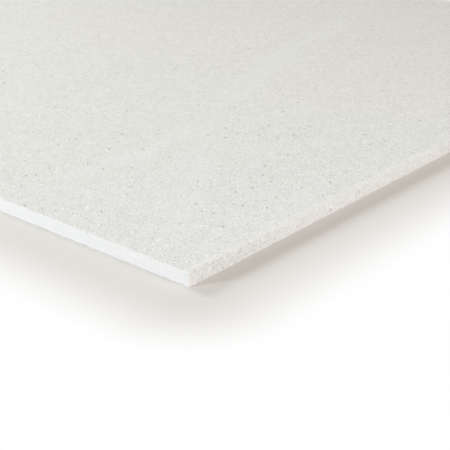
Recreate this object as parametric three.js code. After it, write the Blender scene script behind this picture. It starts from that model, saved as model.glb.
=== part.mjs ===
// One sheet of gypsum fibre board, the uncoated kind of dry lining board.
//
// The sheet is a single body all the way through: calcined gypsum and cellulose fibre, pressed wet
// into a slab, dried, sanded on both faces and sawn to format. It has no paper liner, no core of its
// own and no taper, so its four edges are square saw cuts that show the same mass as the faces.
//
// Units are millimetres. The sheet lies flat with +Z up and its origin is in the middle of its
// underside. X runs along the length, Y across the width.
import * as THREE from 'three';

// Format as cut at the works.
const LENGTH = 1500;
const WIDTH = 1000;
const THICKNESS = 15;

// A saw leaves a square arris, and stacking and carrying blunt it: the long arrises lose a little
// less than half a millimetre each way, and the upright ones at the corners are knocked round.
const ARRIS = 0.4;
const CORNER_RADIUS = 1.0;

// Flats that make up one rounded arris, and chords that make up one rounded corner. A shape divides
// an arc into twice as many chords as curveSegments says.
const ARRIS_FLATS = 2;
const CORNER_CHORDS = 4;

const WARM_WHITE = 0xe6e5df;

// Plan outline of the sheet: a rectangle whose corners are quarter turns, drawn anticlockwise.
function sheetOutline(length, width, radius) {
  const right = length / 2 - radius;
  const back = width / 2 - radius;
  const quarter = Math.PI / 2;
  const outline = new THREE.Shape();
  outline.absarc(right, -back, radius, -quarter, 0, false);
  outline.absarc(right, back, radius, 0, quarter, false);
  outline.absarc(-right, back, radius, quarter, 2 * quarter, false);
  outline.absarc(-right, -back, radius, 2 * quarter, 3 * quarter, false);
  return outline;
}

// The slab: the outline raised through the thickness. The bevel of the extrusion is the blunted
// arris, taken inwards, so that the sawn edges keep their true distance apart.
function sheetSolid() {
  const solid = new THREE.ExtrudeGeometry(sheetOutline(LENGTH, WIDTH, CORNER_RADIUS), {
    depth: THICKNESS - 2 * ARRIS,
    curveSegments: CORNER_CHORDS / 2,
    bevelEnabled: true,
    bevelThickness: ARRIS,
    bevelSize: ARRIS,
    bevelOffset: -ARRIS,
    bevelSegments: ARRIS_FLATS,
  });
  solid.translate(0, 0, ARRIS);
  return solid;
}

// The bare board: an off-white, dead matt mineral surface with no coating.
function boardFinish() {
  return new THREE.MeshStandardMaterial({ color: WARM_WHITE, roughness: 0.9, metalness: 0 });
}

const sheet = new THREE.Mesh(sheetSolid(), boardFinish());
sheet.name = 'board';

const drywallSheet = new THREE.Group();
drywallSheet.add(sheet);

export default drywallSheet;
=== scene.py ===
import math

import bpy
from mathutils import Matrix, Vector
from mathutils.geometry import delaunay_2d_cdt


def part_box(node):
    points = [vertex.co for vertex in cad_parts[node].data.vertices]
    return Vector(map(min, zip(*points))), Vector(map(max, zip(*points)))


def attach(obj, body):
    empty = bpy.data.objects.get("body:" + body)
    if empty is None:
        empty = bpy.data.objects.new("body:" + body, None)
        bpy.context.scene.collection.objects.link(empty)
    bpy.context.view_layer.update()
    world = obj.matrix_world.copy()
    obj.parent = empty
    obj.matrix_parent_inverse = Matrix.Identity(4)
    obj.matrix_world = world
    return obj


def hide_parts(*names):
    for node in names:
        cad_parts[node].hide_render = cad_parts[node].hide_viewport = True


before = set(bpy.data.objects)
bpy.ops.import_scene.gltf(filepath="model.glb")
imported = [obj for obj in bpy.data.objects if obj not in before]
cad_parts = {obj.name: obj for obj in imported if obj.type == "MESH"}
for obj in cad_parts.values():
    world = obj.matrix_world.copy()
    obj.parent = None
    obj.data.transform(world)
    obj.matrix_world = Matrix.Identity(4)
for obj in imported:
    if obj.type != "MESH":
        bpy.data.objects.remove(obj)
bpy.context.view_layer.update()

# The board: one sheet of gypsum fibre board with no paper on it. Calcined gypsum and shredded paper
# fibre are pressed wet into a slab, dried, sanded on both faces and sawn to format, so the square
# edges show the same mass as the faces. Handling has blunted the arrises and rounded the corners.
MM = 0.001
board_low, board_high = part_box("board")
half_length = board_high.x
half_width = board_high.y
thickness = board_high.z - board_low.z
arris = 0.2 * MM
corner_radius = 1.0 * MM

# Its mesh is fine at the edges, where the mass crumbles, and wide in the middle of the faces. In
# between it grows by the same factor from row to row, in rows of nearly even triangles.
edge_pitch = 1.6 * MM
corner_chords = 6
arris_chords = 3
face_ring_insets = (6.0 * MM, 4.2 * MM, 2.8 * MM, 1.7 * MM, 0.9 * MM)
cut_ring_depths = (1.4 * MM, 2.4 * MM, 3.8 * MM, 5.6 * MM)
worked_margin = face_ring_insets[0]
graded_reach = 100 * MM
graded_growth = 1.6
row_to_pitch = 0.87
open_pitch = 50 * MM


def ring_of_points(inset, height, pitch, chords, drawn_in):
    """Points round the board, drawn in from its sides by inset, anticlockwise, at one height.
    Their number follows pitch along the outline that is drawn in by drawn_in."""
    radius = max(corner_radius - inset, corner_radius / 2)
    reach = (half_length - inset - radius, half_width - inset - radius)
    along_length = round(2 * (half_length - drawn_in) / pitch)
    along_width = round(2 * (half_width - drawn_in) / pitch)
    signs = ((1, -1), (1, 1), (-1, 1), (-1, -1))
    points = []
    for turn in range(4):
        middle = Vector((signs[turn][0] * reach[0], signs[turn][1] * reach[1], height))
        after = Vector((signs[turn - 3][0] * reach[0], signs[turn - 3][1] * reach[1], height))
        for chord in range(chords + 1):
            angle = math.radians(90 * (turn - 1 + chord / chords))
            points.append(middle + radius * Vector((math.cos(angle), math.sin(angle), 0)))
        count = along_width if turn % 2 == 0 else along_length
        last = points[-1]
        points += [last + (after - middle) * step / count for step in range(1, count)]
    return points


def edge_section():
    """(inset, height) of the rings from the upper face, over the sawn edge, to the lower face."""
    upper = [(inset, 0.0) for inset in face_ring_insets]
    for chord in range(arris_chords + 1):
        turn = math.radians(90 * chord / arris_chords)
        upper.append((arris * (1 - math.sin(turn)), arris * (1 - math.cos(turn))))
    upper += [(0.0, depth) for depth in cut_ring_depths]
    return [(inset, thickness - depth) for inset, depth in upper] + upper[::-1]


def face_inside(rim, height):
    """Points inside the rim of a face, close together beside it and wide apart further in, and the
    triangles that join them to the rim. A corner counts from the rim's first point."""
    inner = []
    inset = worked_margin
    pitch = edge_pitch
    while inset < graded_reach:
        pitch *= graded_growth
        inset += row_to_pitch * pitch
        inner += ring_of_points(inset, height, pitch, 1, inset)
    inset += row_to_pitch * open_pitch
    columns = round(2 * (half_length - inset) / open_pitch)
    rows = round(2 * (half_width - inset) / open_pitch)
    for row in range(rows + 1):
        y = (half_width - inset) * (2 * row / rows - 1)
        for column in range(columns + 1):
            x = (half_length - inset) * (2 * column / columns - 1)
            inner.append(Vector((x, y, height)))
    flat = [point.xy for point in rim + inner]
    loop = [(index, (index + 1) % len(rim)) for index in range(len(rim))]
    only_inside_loop = 1
    merge_distance = 1e-7
    found = delaunay_2d_cdt(flat, loop, [], only_inside_loop, merge_distance)
    triangles, sources = found[2], found[3]
    return inner, [[sources[corner][0] for corner in triangle] for triangle in triangles]


def board_mesh():
    """The closed board: bands of quads over the sawn edge, and a graded face above and below."""
    section = edge_section()
    rings = [ring_of_points(inset, z, edge_pitch, corner_chords, 0.0) for inset, z in section]
    around = len(rings[0])
    points = [point for ring in rings for point in ring]
    faces = []
    for band in range(len(rings) - 1):
        for step in range(around):
            here = band * around + step
            there = band * around + (step + 1) % around
            faces.append((there, here, here + around, there + around))
    lowest_ring = len(points) - around
    for rim, height, order in ((0, thickness, 1), (lowest_ring, 0.0, -1)):
        inner, triangles = face_inside(points[rim:rim + around], height)
        shift = len(points) - around
        for triangle in triangles:
            faces.append([c + (rim if c < around else shift) for c in triangle[::order]])
        points += inner
    mesh = bpy.data.meshes.new("gypsum_fibre_board")
    mesh.from_pydata(points, [], faces)
    mesh.shade_smooth()
    return mesh


class Wire:
    """An output in a node tree. Arithmetic on a Wire adds the Math nodes that work it out. A Wire
    that has no socket only starts a tree."""

    def __init__(self, tree, socket=None):
        self.tree = tree
        self.socket = socket

    def feed(self, socket, value):
        """Gives a node's input a plain value, or links a Wire to it."""
        if isinstance(value, Wire):
            self.tree.links.new(value.socket, socket)
        else:
            socket.default_value = value

    def node(self, kind, sockets=None, output=0, **settings):
        """Adds a node: its settings first, then a value or a Wire for each socket named. Gives the
        Wire of one output, or the node itself where output is None."""
        made = self.tree.nodes.new(kind)
        for name, value in settings.items():
            setattr(made, name, value)
        for name, value in (sockets or {}).items():
            self.feed(made.inputs[name], value)
        if output is None:
            return made
        return Wire(self.tree, made.outputs[output])

    def math(self, operation, other=0.0):
        return self.node("ShaderNodeMath", {0: self, 1: other}, operation=operation)

    def __add__(self, other):
        return self.math("ADD", other)

    def __sub__(self, other):
        return self.math("SUBTRACT", other)

    def __rsub__(self, other):
        return self.node("ShaderNodeMath", {0: other, 1: self}, operation="SUBTRACT")

    def __neg__(self):
        return 0 - self

    def __mul__(self, other):
        return self.math("MULTIPLY", other)

    def __truediv__(self, other):
        return self.math("DIVIDE", other)

    def __rtruediv__(self, other):
        return self.node("ShaderNodeMath", {0: other, 1: self}, operation="DIVIDE")

    __radd__ = __add__
    __rmul__ = __mul__

    def at_least(self, limit):
        return self.math("MAXIMUM", limit)

    def at_most(self, limit):
        return self.math("MINIMUM", limit)

    def ramp(self, start, end):
        """0 at start and 1 at end, eased between them. start may be the larger."""
        sockets = {"Value": self, "From Min": start, "From Max": end}
        return self.node("ShaderNodeMapRange", sockets, interpolation_type="SMOOTHSTEP")

    def vector(self, operation, other=None, output=0):
        sockets = {0: self} if other is None else {0: self, 1: other}
        return self.node("ShaderNodeVectorMath", sockets, output, operation=operation)

    def dot(self, other):
        return self.vector("DOT_PRODUCT", other, "Value")

    def length(self):
        return self.vector("LENGTH", output="Value")

    def scaled(self, factor):
        return self.node("ShaderNodeVectorMath", {0: self, "Scale": factor}, operation="SCALE")

    def times(self, vector):
        """A fixed vector or grey, this many times over."""
        return self.node("ShaderNodeVectorMath", {0: vector, "Scale": self}, operation="SCALE")

    def noise(self, size, detail, roughness, seed):
        """Cloudy noise, 0 to 1, over this place, with patches about size metres across."""
        sockets = {"Vector": self, "W": seed, "Scale": 1 / size, "Detail": detail}
        sockets["Roughness"] = roughness
        return self.node("ShaderNodeTexNoise", sockets, noise_dimensions="4D")

    def strayed(self, size, reach):
        """This place, carried off by up to half of reach, in swirls about size metres across."""
        swirl = self.node("ShaderNodeTexNoise", {"Vector": self, "Scale": 1 / size}, "Color")
        return self.vector("ADD", swirl.vector("SUBTRACT", (0.5, 0.5, 0.5)).scaled(reach))


# What the saw and handling have done to the edges, and a painted highlight along the short ones.
# Wear and chips reach in from an arris, and the painted highlight from a short edge, beside which
# it is full. The saw cut starts to look sawn, and looks it in full, at these depths under a face.
edge_wear = {
    "Half length": half_length,
    "Half width": half_width,
    "Thickness": thickness,
    "Margin": worked_margin,
    "Wear reach": 1.4 * MM,
    "Wear depth": 0.30 * MM,
    "Wear grain": 3.0 * MM,
    "Chip reach": 3.2 * MM,
    "Chip depth": 1.0 * MM,
    "Chip spacing": 14.0 * MM,
    "Cut start": 0.1 * MM,
    "Cut full": 0.7 * MM,
    "Pit size": 3.5 * MM,
    "Pit depth": 0.22 * MM,
    "Tear size": 5.0 * MM,
    "Tear depth": 0.12 * MM,
    "Rip size": 160.0 * MM,
    "Highlight reach": 9.5 * MM,
    "Highlight full": 3.8 * MM,
    "Rub and highlight size": 45.0 * MM,
    "Long edge wear": 0.15,
    "Long edge roughness": 0.12,
    "Seed": 4.0,
}


def worn_edges(material):
    """The tree that crumbles the arrises and pits and tears the saw cut, most on the short edges.
    All of it goes into the board. It stores how far each point is sawn and rough, and how much
    painted highlight and paler crushed mass it gets."""
    tree = bpy.data.node_groups.new("worn_edges", "GeometryNodeTree")
    tree.interface.new_socket("Board", in_out="OUTPUT", socket_type="NodeSocketGeometry")
    tree.interface.new_socket("Board", in_out="INPUT", socket_type="NodeSocketGeometry")
    for name in edge_wear:
        tree.interface.new_socket(name, in_out="INPUT", socket_type="NodeSocketFloat")
    start = Wire(tree)
    given = start.node("NodeGroupInput", output=None)
    size = {name: Wire(tree, given.outputs[name]) for name in edge_wear}
    seed = size["Seed"]
    place = start.node("GeometryNodeInputPosition")
    apart = start.node("ShaderNodeSeparateXYZ", {0: place}, None)
    x, y, z = (Wire(tree, apart.outputs[axis]) for axis in "XYZ")

    def past(value, limit):
        """How far value lies outside plus or minus limit, with its sign."""
        return value - value.at_least(-limit).at_most(limit)

    def less_on_long(share):
        """1 on the short edges, and share on the long ones."""
        return share + (1 - share) * on_short

    # Where a point lies: which way is out, and how far it is from the nearest side and face.
    out_x = past(x, size["Half length"] - size["Margin"])
    out_y = past(y, size["Half width"] - size["Margin"])
    out = start.node("ShaderNodeCombineXYZ", {"X": out_x, "Y": out_y})
    outward = out.vector("NORMALIZE")
    in_margin = outward.length()
    on_short = 1 - outward.dot((0.0, 1.0, 0.0)).math("ABSOLUTE")
    from_side = (size["Margin"] - out.length()).at_least(0.0)
    from_face = z.at_most(size["Thickness"] - z)
    from_arris = from_side + from_face
    on_cut = from_face.ramp(size["Cut start"], size["Cut full"])
    upper = (z - size["Thickness"] * 0.5).math("SIGN")

    # The arrises: wear all along, and chips where the mass broke out. The lower ones keep more.
    grain = place.noise(size["Wear grain"], 3.0, 0.6, seed)
    rub = place.noise(size["Rub and highlight size"], 2.0, 0.5, seed + 3.0)
    worn = from_arris.ramp(size["Wear reach"], 0.0) * size["Wear depth"]
    worn = worn * (grain.ramp(0.3, 0.75) * 0.6 + rub.ramp(0.35, 0.7) * 0.6)
    where = place.noise(size["Chip spacing"], 3.0, 0.6, seed + 7.0)
    chip = from_arris.ramp(size["Chip reach"], 0.0) * size["Chip depth"]
    chip = chip * where.ramp(0.52, 0.70) * (0.4 + grain)
    lost = (worn + chip) * less_on_long(size["Long edge wear"]) * (0.6 + 0.4 * upper)

    # The saw cut: pits and tears, deeper in the stretches where the blade ripped the mass.
    ripped = place.noise(size["Rip size"], 1.0, 0.5, seed + 56.0).ramp(0.42, 0.58)
    rough = on_cut * less_on_long(size["Long edge roughness"]) * (0.7 + 0.5 * ripped)
    pit = place.noise(size["Pit size"], 1.0, 0.5, seed + 11.0).ramp(0.60, 0.74) * size["Pit depth"]
    torn = place.noise(size["Tear size"], 4.0, 0.7, seed + 19.0) * size["Tear depth"]

    # Painted highlight: a paler band beside the short edges that stands in for light caught by
    # their
    #     # rounded rim, and paler crushed mass wherever an arris has gone.
    from_short = size["Half length"] - x.math("ABSOLUTE")
    # painted highlight beside the short edges, plus paler crushed mass where arrises are lost
    highlight_and_rub = from_short.ramp(size["Highlight reach"], size["Highlight full"]) * (1 - on_cut)
    highlight_and_rub = highlight_and_rub * (0.6 + 0.8 * rub) + 0.6 * lost / size["Chip depth"]

    inwards = outward.scaled(-(lost * 0.7 + rough * (pit + torn)))
    into_face = start.node("ShaderNodeCombineXYZ", {"Z": -upper * lost * 0.7}).scaled(in_margin)
    shift = inwards.vector("ADD", into_face)
    board = Wire(tree, given.outputs["Board"])
    board = start.node("GeometryNodeSetPosition", {"Geometry": board, "Offset": shift})
    for name, value in (("sawn", on_cut), ("rough", rough), ("highlight_and_rub", highlight_and_rub)):
        sockets = {"Geometry": board, "Name": name, "Value": value}
        board = start.node("GeometryNodeStoreNamedAttribute", sockets, data_type="FLOAT")
    board = start.node("GeometryNodeRealizeInstances", {"Geometry": board})
    board = start.node("GeometryNodeSetMaterial", {"Geometry": board, "Material": material})
    start.node("NodeGroupOutput", {"Board": board}, None)
    return tree


def stained(colour, stain, amount):
    """colour, with amount of stain over it."""
    mixed = amount.node("ShaderNodeMix", output=None, data_type="RGBA")
    for name, value in (("Factor_Float", amount), ("A_Color", colour), ("B_Color", stain)):
        amount.feed(next(s for s in mixed.inputs if s.identifier == name), value)
    return Wire(amount.tree, next(s for s in mixed.outputs if s.identifier == "Result_Color"))


def specks(over, spacing, radii, share, seed, stretch=1.0, turn=0.0):
    """1 on the grains that the mass shows, 0 between them. share of the cells hold a grain, with a
    radius between the two radii. stretch draws it out into a fleck, turned by turn degrees."""
    sockets = {"Vector": over, "Location": (seed, 2 * seed, 3 * seed)}
    sockets["Rotation"] = (0.0, 0.0, math.radians(turn))
    sockets["Scale"] = (stretch, 1.0, 1.0)
    laid = over.node("ShaderNodeMapping", sockets, vector_type="TEXTURE")
    cells = over.node("ShaderNodeTexVoronoi", {"Vector": laid, "Scale": 1 / spacing}, None)
    away = Wire(over.tree, cells.outputs["Distance"]) * spacing
    drawn = over.node("ShaderNodeSeparateColor", {0: Wire(over.tree, cells.outputs["Color"])}, None)
    held, big = (Wire(over.tree, drawn.outputs[name]) for name in ("Red", "Green"))
    radius = radii[0] + big * (radii[1] - radii[0])
    rim_fades, rim_full = 1.25, 0.58
    return (away / radius).ramp(rim_fades, rim_full) * held.math("LESS_THAN", share)


def rubbed_along(place, route, width):
    """1 along the middle of a soft band over points of the upper face, 0 outside its width."""
    strayed = place.strayed(60 * MM, width).vector("SUBTRACT", (0.0, 0.0, thickness))
    nearest = None
    for first, last in zip(route, route[1:]):
        run = Vector((last[0] - first[0], last[1] - first[1], 0.0))
        past_first = strayed.vector("SUBTRACT", (first[0], first[1], 0.0))
        share = past_first.dot(run / run.length_squared).at_least(0.0).at_most(1.0)
        off = past_first.vector("SUBTRACT", share.times(run)).length()
        nearest = off if nearest is None else nearest.at_most(off)
    return nearest.ramp(0.75 * width, 0.2 * width)


def chalky_rub(place):
    """A faint rub of gypsum dust that handling left on the upper face: a band towards the near
    corner, the narrower tail that it ends in, and a wide, fainter spur off the tail."""
    band_route = ((0.345, 0.28), (0.375, 0.16), (0.412, 0.02), (0.452, -0.10))
    tail_route = ((0.452, -0.10), (0.503, -0.21), (0.514, -0.30), (0.50, -0.40))
    spur_route = ((0.503, -0.21), (0.58, -0.30), (0.68, -0.46))
    band = rubbed_along(place, band_route, width=40 * MM)
    tail = rubbed_along(place, tail_route, width=24 * MM) * 0.75
    spur = rubbed_along(place, spur_route, width=48 * MM) * 0.45
    patchy = place.noise(25 * MM, 2.0, 0.5, 21.0).ramp(0.15, 0.65)
    return band.at_least(tail.at_least(spur)) * patchy


def gypsum_fibre():
    """Bare gypsum fibre: an off-white, dead matt mass, peppered with grey grit and paper flecks."""
    material = bpy.data.materials.new("gypsum_fibre")
    material.use_nodes = True
    tree = material.node_tree
    tree.nodes.clear()
    start = Wire(tree)
    place = start.node("ShaderNodeTexCoord", output="Object")
    sawn = start.node("ShaderNodeAttribute", output="Fac", attribute_name="sawn")
    rough = start.node("ShaderNodeAttribute", output="Fac", attribute_name="rough")
    highlight_and_rub = start.node("ShaderNodeAttribute", output="Fac", attribute_name="highlight_and_rub")

    # The mass is drawn out a little in one direction, and the outlines of its grains are ragged.
    drawn_out = 1.6
    drawn_towards = math.radians(130)
    sockets = {"Vector": place, "Rotation": (0.0, 0.0, drawn_towards)}
    sockets["Scale"] = (drawn_out, 1.0, 1.0)
    flow = start.node("ShaderNodeMapping", sockets, vector_type="TEXTURE")
    ragged = flow.strayed(1.6 * MM, 1.4 * MM)

    # Its texture: cloudy paste with paler grains in it. It changes slowly over the sheet, and it
    # shows less on the saw cut, except where that is rough.
    drift = place.noise(800 * MM, 1.0, 0.5, 129.0).ramp(0.36, 0.70)
    grain = flow.noise(1.3 * MM, 4.0, 0.65, 9.0)
    felt = flow.noise(1.9 * MM, 3.0, 0.55, 13.0)
    clumps = flow.noise(6 * MM, 3.0, 0.55, 2.0)
    mottle = place.noise(50 * MM, 5.0, 0.75, 1.0)
    flour = specks(ragged, spacing=2.5 * MM, radii=(0.35 * MM, 0.75 * MM), share=0.6, seed=33.0)
    lime = specks(ragged, spacing=4.2 * MM, radii=(0.5 * MM, 1.1 * MM), share=0.6, seed=13.0)
    chalk = specks(ragged, spacing=5.0 * MM, radii=(0.7 * MM, 1.5 * MM), share=0.6, seed=63.0)
    texture = 0.10 * grain.ramp(0.32, 0.68) + 0.14 * felt.ramp(0.32, 0.68)
    texture = texture + (0.070 - 0.038 * drift) * (clumps.ramp(0.32, 0.68) - 0.5)
    texture = texture + 0.02 * mottle.ramp(0.3, 0.7)
    texture = texture - 0.12 * flour - 0.10 * lime - 0.10 * chalk
    usual_texture = 0.121
    textured = (1 - 0.8 * sawn + rough) * (0.85 + 0.42 * drift)

    # Its pepper: darker grains, and shredded paper fibres that lie two ways.
    silt = specks(ragged, spacing=2.2 * MM, radii=(0.35 * MM, 0.75 * MM), share=0.5, seed=25.0)
    dust = specks(ragged, spacing=3.6 * MM, radii=(0.5 * MM, 1.15 * MM), share=0.5, seed=5.0)
    sand = specks(ragged, spacing=4.2 * MM, radii=(0.7 * MM, 1.5 * MM), share=0.6, seed=45.0)
    fibre_radii = (0.25 * MM, 0.6 * MM)
    fibre_one_way = specks(ragged, 4.6 * MM, fibre_radii, 0.7, 11.0, stretch=3.0, turn=25.0)
    fibre_other_way = specks(ragged, 4.6 * MM, fibre_radii, 0.7, 12.0, stretch=3.0, turn=100.0)
    fibre = fibre_one_way + fibre_other_way
    pepper = 0.065 * silt + 0.18 * dust + 0.09 * sand + 0.10 * fibre
    usual_pepper = 0.011
    peppered = (1 - 0.85 * sawn + 0.55 * rough) * (0.55 + 0.57 * drift)

    # The paste's own colour, made lighter or darker by a neutral amount where the texture and the
    # pepper differ from what they usually are.
    warm_paste = (0.812, 0.810, 0.766, 1)
    cool_paste = (0.807, 0.810, 0.782, 1)
    neutral = (0.8, 0.8, 0.8)
    lightest = 1.19
    lightness = 1.0 - (texture - usual_texture) * textured - (pepper - usual_pepper) * peppered
    lightness = (lightness - 0.06 * rough).at_most(lightest)
    colour = stained(warm_paste, cool_paste, drift).vector("ADD", (lightness - 1).times(neutral))

    # The few grains and flecks of another stuff, then the painted highlight and crushed mass by the
    #     # edges, and the chalky rub that handling has left.
    grit = specks(ragged, spacing=10 * MM, radii=(0.8 * MM, 1.8 * MM), share=0.6, seed=56.0)
    coal = specks(ragged, spacing=26 * MM, radii=(0.7 * MM, 1.4 * MM), share=0.6, seed=7.0)
    kraft = specks(ragged, spacing=50 * MM, radii=(1.0 * MM, 2.2 * MM), share=0.5, seed=8.0)
    grit_grey = (0.29, 0.27, 0.242, 1)
    coal_black = (0.07, 0.058, 0.052, 1)
    kraft_brown = (0.50, 0.36, 0.22, 1)
    highlight_and_crushed_white = (0.90, 0.89, 0.86, 1)
    chalk_white = (0.866, 0.862, 0.853, 1)
    colour = stained(colour, grit_grey, grit * peppered * 0.5)
    colour = stained(colour, coal_black, coal * peppered * 0.4)
    colour = stained(colour, kraft_brown, kraft * 0.5)
    # painted highlight beside the short edges, with paler crushed mass where arrises have gone
    colour = stained(colour, highlight_and_crushed_white, highlight_and_rub * 0.4)
    colour = stained(colour, chalk_white, chalky_rub(place) * 0.46)

    # The relief that is finer than the mesh.
    height = felt * (0.14 * MM) + grain * (0.10 * MM) - fibre * (0.04 * MM)
    height = height + rough * place.noise(1.8 * MM, 4.0, 0.7, 10.0) * (0.30 * MM)
    bump = start.node("ShaderNodeBump", {"Height": height, "Strength": 1.0, "Distance": 1.0})
    sockets = {"Base Color": colour, "Roughness": 0.86 + 0.1 * felt, "Normal": bump}
    finish = start.node("ShaderNodeBsdfPrincipled", sockets)
    start.node("ShaderNodeOutputMaterial", {"Surface": finish}, None)
    return material


board = bpy.data.objects.new("gypsum_fibre_board", board_mesh())
bpy.context.scene.collection.objects.link(board)
wear = board.modifiers.new("worn_edges", "NODES")
wear.node_group = worn_edges(gypsum_fibre())
for item in wear.node_group.interface.items_tree:
    if item.in_out == "INPUT" and item.name in edge_wear:
        wear[item.identifier] = edge_wear[item.name]
evaluated = board.evaluated_get(bpy.context.evaluated_depsgraph_get())
worn_mesh = bpy.data.meshes.new_from_object(evaluated)
board.modifiers.clear()
board.data = worn_mesh
board.data.name = "gypsum_fibre_board"
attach(board, "root")
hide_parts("board")

# The floor: a plain studio floor that the board lies on. The camera sees a painted shade on it,
# pale for a few centimetres round the board and fading to plain white beyond, with the shadow on
# it. To everything else it is one pale paint, which throws soft, slightly warm light back up at the
# board's edges.
floor_reach = 14.0
floor_drop = 0.05 * MM
fade_start = 25 * MM
fade_end = 125 * MM
floor_paint = (0.79, 0.77, 0.72, 1)
floor_seen_with_painted_shade = (0.785, 0.765, 0.725, 1)
floor_white = (1, 1, 1, 1)
floor_corners = []
for x, y in ((-1, -1), (1, -1), (1, 1), (-1, 1)):
    floor_corners.append((x * floor_reach, y * floor_reach, -floor_drop))
floor_mesh = bpy.data.meshes.new("studio_floor")
floor_mesh.from_pydata(floor_corners, [], [(0, 1, 2, 3)])
floor = bpy.data.objects.new("studio_floor", floor_mesh)
bpy.context.scene.collection.objects.link(floor)
paint = bpy.data.materials.new("studio_floor")
paint.use_nodes = True
paint.node_tree.nodes.clear()
start = Wire(paint.node_tree)
seen = start.node("ShaderNodeLightPath", output="Is Camera Ray")
plain = start.node("ShaderNodeBsdfDiffuse", {"Color": floor_paint})
shaded = start.node("ShaderNodeBsdfDiffuse", {"Color": floor_seen_with_painted_shade})
white = start.node("ShaderNodeEmission", {"Color": floor_white, "Strength": 1.0})
place = start.node("ShaderNodeTexCoord", output="Object")
beyond = place.vector("ABSOLUTE").vector("SUBTRACT", (half_length, half_width, 0.0))
away = beyond.vector("MAXIMUM", (0.0, 0.0, 0.0)).length()
# painted shade: darker near the board, fading to white between fade_start and fade_end
shown = start.node("ShaderNodeMixShader", {0: away.ramp(fade_start, fade_end), 1: shaded, 2: white})
both = start.node("ShaderNodeMixShader", {0: seen, 1: plain, 2: shown})
start.node("ShaderNodeOutputMaterial", {"Surface": both}, None)
floor_mesh.materials.append(paint)

# The studio: an even, slightly warm surround that the camera sees as white, and three soft, cool
# square lamps. One is on the left, with a grid on it so that the left end isn't overlit, one is low
# in front of the long edge, and one is low on the right and opens up the short edge.
sky_colour = (1.0, 0.973, 0.864, 1)
sky_level = 0.518
backdrop_white = (1, 1, 1, 1)
world = bpy.data.worlds.new("studio")
bpy.context.scene.world = world
world.use_nodes = True
world.node_tree.nodes.clear()
start = Wire(world.node_tree)
seen = start.node("ShaderNodeLightPath", output="Is Camera Ray")
sky = start.node("ShaderNodeBackground", {"Color": sky_colour, "Strength": sky_level})
white = start.node("ShaderNodeBackground", {"Color": backdrop_white, "Strength": 1.0})
surround = start.node("ShaderNodeMixShader", {0: seen, 1: sky, 2: white})
start.node("ShaderNodeOutputWorld", {"Surface": surround}, None)


def lamp(name, aim, towards, distance, size, level, colour, grid=90.0):
    """A square soft lamp, distance from aim in the direction towards. level is the light that it
    gives square on at aim, where 1 shows a colour as it is written. Its light falls off to nothing
    at grid degrees to the side of the aim, and 90 degrees is a lamp without a grid."""
    half_angle = math.radians(grid)
    light = bpy.data.lights.new(name, "AREA")
    light.shape = "SQUARE"
    light.size = size
    light.color = colour
    light.spread = 2 * half_angle
    light.energy = level * math.pi ** 2 * distance ** 2 * (1 - half_angle / math.tan(half_angle))
    holder = bpy.data.objects.new(name, light)
    direction = Vector(towards).normalized()
    holder.location = Vector(aim) + direction * distance
    holder.rotation_euler = direction.to_track_quat("Z", "Y").to_euler()
    bpy.context.scene.collection.objects.link(holder)


along_short_edge = 0.25
near_corner = (half_length, -half_width, thickness)
right_edge = (half_length, along_short_edge - half_width, thickness)
lamp("side_lamp", near_corner, towards=(-1.89, 0.17, 1.0), distance=3.58, size=1.08, level=0.479,
     colour=(0.91, 0.95, 1.0), grid=41.0)
lamp("front_lamp", near_corner, towards=(-1.6, -3.0, 1.0), distance=3.4, size=0.66, level=0.633,
     colour=(0.790, 0.831, 1.0))
lamp("right_lamp", right_edge, towards=(3.43, -0.05, 1.0), distance=1.57, size=0.63, level=0.493,
     colour=(0.961, 0.913, 1.0))

# The camera: a long lens half a metre above the board, which looks down across the near corner and
# along the sheet, so that the far end and the left end run out of the frame.
looking_down = math.radians(24.39)
turned_left = math.radians(40.68)
camera_data = bpy.data.cameras.new("camera")
camera_data.lens = 96.39
camera = bpy.data.objects.new("camera", camera_data)
camera.location = (1.3982, -1.2050, 0.4955)
camera.rotation_euler = (math.radians(90) - looking_down, 0.0, turned_left)
bpy.context.scene.collection.objects.link(camera)
bpy.context.scene.camera = camera
bpy.context.scene.view_settings.view_transform = "Standard"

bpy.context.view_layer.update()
